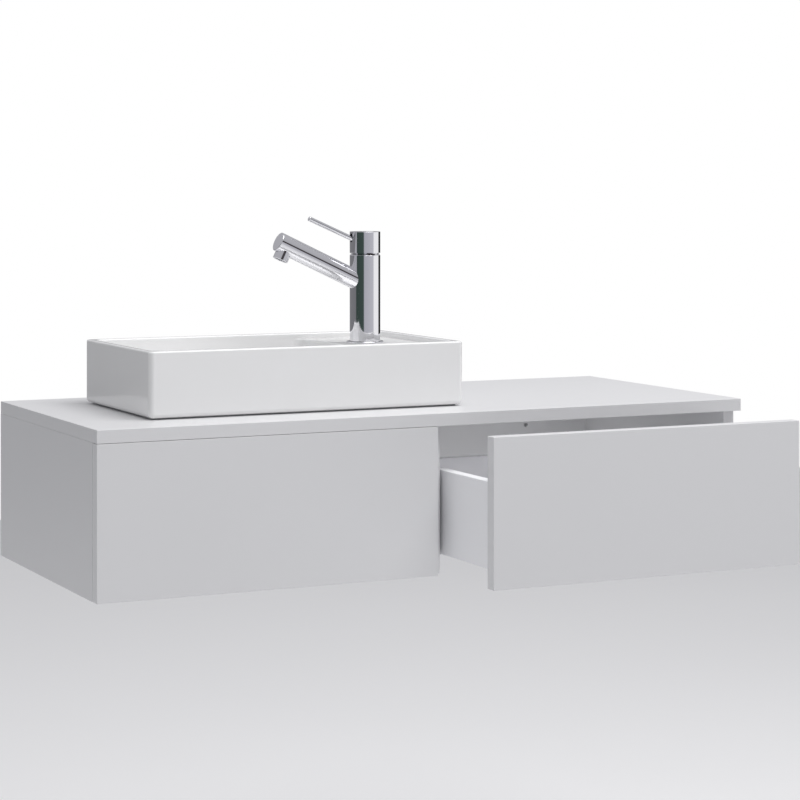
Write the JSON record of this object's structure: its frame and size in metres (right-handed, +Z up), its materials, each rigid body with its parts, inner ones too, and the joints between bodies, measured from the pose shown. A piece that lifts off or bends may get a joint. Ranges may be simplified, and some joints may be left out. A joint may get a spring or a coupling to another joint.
{
  "type": "bathroom vanity",
  "caption": "Wall-hung white bathroom vanity with handle-less drawers, a rectangular vessel basin standing on its worktop and a chrome pin-lever mixer tap.",
  "frame": {"origin": "on the wall plane, in the middle of the cabinet's width, at the height of the wall screws", "axes": "+X to the right along the wall seen from the room, +Y into the wall, so the fronts face -Y, +Z up"},
  "size_m": [1, 0.59, 0.4972],
  "materials": {
    "white_board": "white lacquered chipboard, satin",
    "drawer_board": "white melamine on chipboard, matt",
    "basin_ceramic": "white gloss glaze",
    "chrome": "polished",
    "zinc_steel": "zinc-plated sheet",
    "zinc_cam": "die-cast zinc",
    "stainless_pin": "ground",
    "brass": "turned",
    "black_rubber": "matt",
    "grey_silicone": "matt",
    "clear_rubber": "soft",
    "white_plastic": "moulded",
    "grey_plastic": "moulded"
  },
  "bodies": {
    "cabinet": {"worktop": "white_board", "side_panel_left": "white_board", "side_panel_right": "white_board", "centre_divider": "white_board", "hanging_rail_left": "white_board", "hanging_rail_right": "white_board", "lower_rail_left": "white_board", "lower_rail_right": "white_board", "carcass_cam_locks": "zinc_cam", "carcass_cam_bolts": "zinc_steel", "left_bay_left_outer_runner": "zinc_steel", "left_bay_right_outer_runner": "zinc_steel", "right_bay_left_outer_runner": "zinc_steel", "right_bay_right_outer_runner": "zinc_steel", "runner_screws": "zinc_steel", "basin": "basin_ceramic", "basin_seal": "grey_silicone", "waste_body": "chrome", "waste_washer": "black_rubber", "waste_nut": "white_plastic", "waste_tail": "chrome", "tap_base_ring": "chrome", "tap_body": "chrome", "tap_spout": "chrome", "aerator_housing": "chrome", "aerator_insert": "grey_plastic", "cartridge": "white_plastic", "cartridge_nut": "brass", "tap_stud": "brass", "tap_clamp_gasket": "black_rubber", "tap_clamp_plate": "zinc_steel", "tap_stud_nut": "brass"},
    "left_drawer": {"left_drawer_front": "white_board", "left_drawer_wall_left": "drawer_board", "left_drawer_wall_right": "drawer_board", "left_drawer_rear": "drawer_board", "left_drawer_base": "drawer_board", "left_drawer_trap_surround": "drawer_board", "left_drawer_cam_locks": "zinc_cam", "left_drawer_bumpers": "clear_rubber", "left_bay_left_drawer_runner": "zinc_steel", "left_bay_right_drawer_runner": "zinc_steel"},
    "left_middle_runners": {"left_bay_left_middle_runner": "zinc_steel", "left_bay_right_middle_runner": "zinc_steel"},
    "right_drawer": {"right_drawer_front": "white_board", "right_drawer_wall_left": "drawer_board", "right_drawer_wall_right": "drawer_board", "right_drawer_rear": "drawer_board", "right_drawer_base": "drawer_board", "right_drawer_cam_locks": "zinc_cam", "right_drawer_bumpers": "clear_rubber", "right_bay_left_drawer_runner": "zinc_steel", "right_bay_right_drawer_runner": "zinc_steel"},
    "right_middle_runners": {"right_bay_left_middle_runner": "zinc_steel", "right_bay_right_middle_runner": "zinc_steel"},
    "waste_plug": {"waste_plug": "chrome"},
    "tap_handle": {"tap_cap": "chrome", "cartridge_stem": "white_plastic", "lever_pivot_pin": "stainless_pin"},
    "tap_lever": {"lever": "chrome"}
  },
  "joints": [
    {"name": "right_drawer_slide", "type": "slide", "parent": "cabinet", "child": "right_drawer", "axis": [0, -1, 0], "range_m": [-0.15, 0.1]},
    {"name": "right_runner_slide", "type": "slide", "parent": "cabinet", "child": "right_middle_runners", "axis": [0, -1, 0], "range_m": [-0.075, 0.05]},
    {"name": "left_drawer_slide", "type": "slide", "parent": "cabinet", "child": "left_drawer", "axis": [0, -1, 0], "range_m": [0, 0.25]},
    {"name": "left_runner_slide", "type": "slide", "parent": "cabinet", "child": "left_middle_runners", "axis": [0, -1, 0], "range_m": [0, 0.125]},
    {"name": "handle_turn", "type": "hinge", "parent": "cabinet", "child": "tap_handle", "pos_m": [-0.0135, -0.221, 0.3], "axis": [0, 0, 1], "range_deg": [-45, 45]},
    {"name": "lever_lift", "type": "hinge", "parent": "tap_handle", "child": "tap_lever", "pos_m": [-0.0265, -0.221, 0.30765], "axis": [0, 1, 0], "range_deg": [0, 12]},
    {"name": "plug_lift", "type": "slide", "parent": "cabinet", "child": "waste_plug", "axis": [0, 0, 1], "range_m": [0, 0.008]}
  ],
  "couplings": [
    {"joint": "right_runner_slide", "follows": "right_drawer_slide", "ratio": 0.5},
    {"joint": "left_runner_slide", "follows": "left_drawer_slide", "ratio": 0.5}
  ]
}
